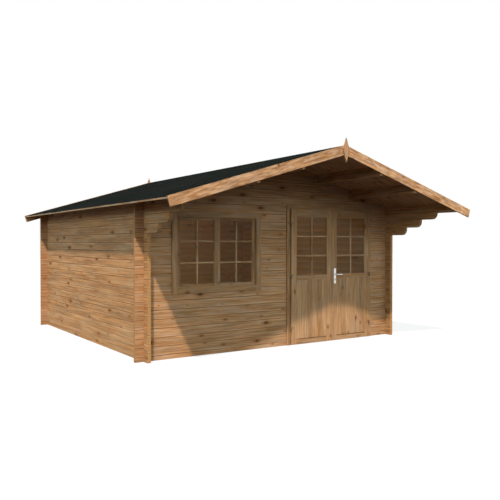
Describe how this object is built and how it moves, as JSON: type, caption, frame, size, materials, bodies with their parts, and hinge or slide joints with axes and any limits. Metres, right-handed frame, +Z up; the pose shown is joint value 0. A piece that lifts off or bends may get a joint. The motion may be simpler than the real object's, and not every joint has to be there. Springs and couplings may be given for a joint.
{
  "type": "log cabin",
  "caption": "Garden log cabin with a deep gabled canopy on stepped logs, felt roof, wide barred window and half-glazed double doors that open.",
  "frame": {"origin": "ground level, in the middle of the roof footprint", "axes": "+X to the right of someone who faces the front, +Y to the back, +Z up"},
  "size_m": [4.9, 5.87, 2.7807],
  "materials": {
    "log_wood": "planed spruce logs, brown stain",
    "roof_wood": "planed spruce boards and purlins, brown stain",
    "barge_wood": "planed spruce boards, lighter brown stain",
    "floor_wood": "planed spruce floor boards",
    "joinery_wood": "planed pine joinery, brown stain",
    "felt": "mineral roofing felt, dark slate",
    "window_glass": "clear float glass",
    "hinge_steel": "zinc plated",
    "handle_steel": "satin chrome"
  },
  "bodies": {
    "cabin": {"door_frame": "joinery_wood", "door_hinge_pins": "hinge_steel", "door_trim": "joinery_wood", "eave_strips": "barge_wood", "felt_sheets": "felt", "finials": "barge_wood", "floor_boards": "floor_wood", "floor_joists": "floor_wood", "front_gable": "log_wood", "front_wall_left_of_window": "log_wood", "front_wall_over_window": "log_wood", "front_wall_right_of_door": "log_wood", "front_wall_right_of_window": "log_wood", "front_wall_under_window": "log_wood", "left_barge_boards": "barge_wood", "left_bracket_logs": "log_wood", "left_roof_boards": "roof_wood", "left_sash": "joinery_wood", "left_wall": "log_wood", "left_wall_plate": "log_wood", "purlins": "roof_wood", "rear_gable": "log_wood", "rear_wall": "log_wood", "ridge_felt": "felt", "right_barge_boards": "barge_wood", "right_bracket_logs": "log_wood", "right_roof_boards": "roof_wood", "right_sash": "joinery_wood", "right_wall": "log_wood", "right_wall_plate": "log_wood", "window_frame": "joinery_wood", "window_glass": "window_glass", "window_trim": "joinery_wood"},
    "left_door": {"left_door_leaf": "joinery_wood", "left_door_glass": "window_glass", "left_door_hinges": "hinge_steel"},
    "right_door": {"right_door_leaf": "joinery_wood", "right_door_glass": "window_glass", "right_door_hinges": "hinge_steel", "lock_plates": "handle_steel"},
    "door_lever": {"lever_handles": "handle_steel"}
  },
  "joints": [
    {"name": "left_door_hinge", "type": "hinge", "parent": "cabin", "child": "left_door", "pos_m": [0.14, -1.641, 1], "axis": [0, 0, -1], "range_deg": [0, 105]},
    {"name": "right_door_hinge", "type": "hinge", "parent": "cabin", "child": "right_door", "pos_m": [1.68, -1.641, 1], "axis": [0, 0, 1], "range_deg": [0, 105]},
    {"name": "lever_turn", "type": "hinge", "parent": "right_door", "child": "door_lever", "pos_m": [0.971, -1.605, 1], "axis": [0, 1, 0], "range_deg": [0, 45], "stiffness_Nm_per_rad": 1.5, "springref_deg": -17.19}
  ]
}
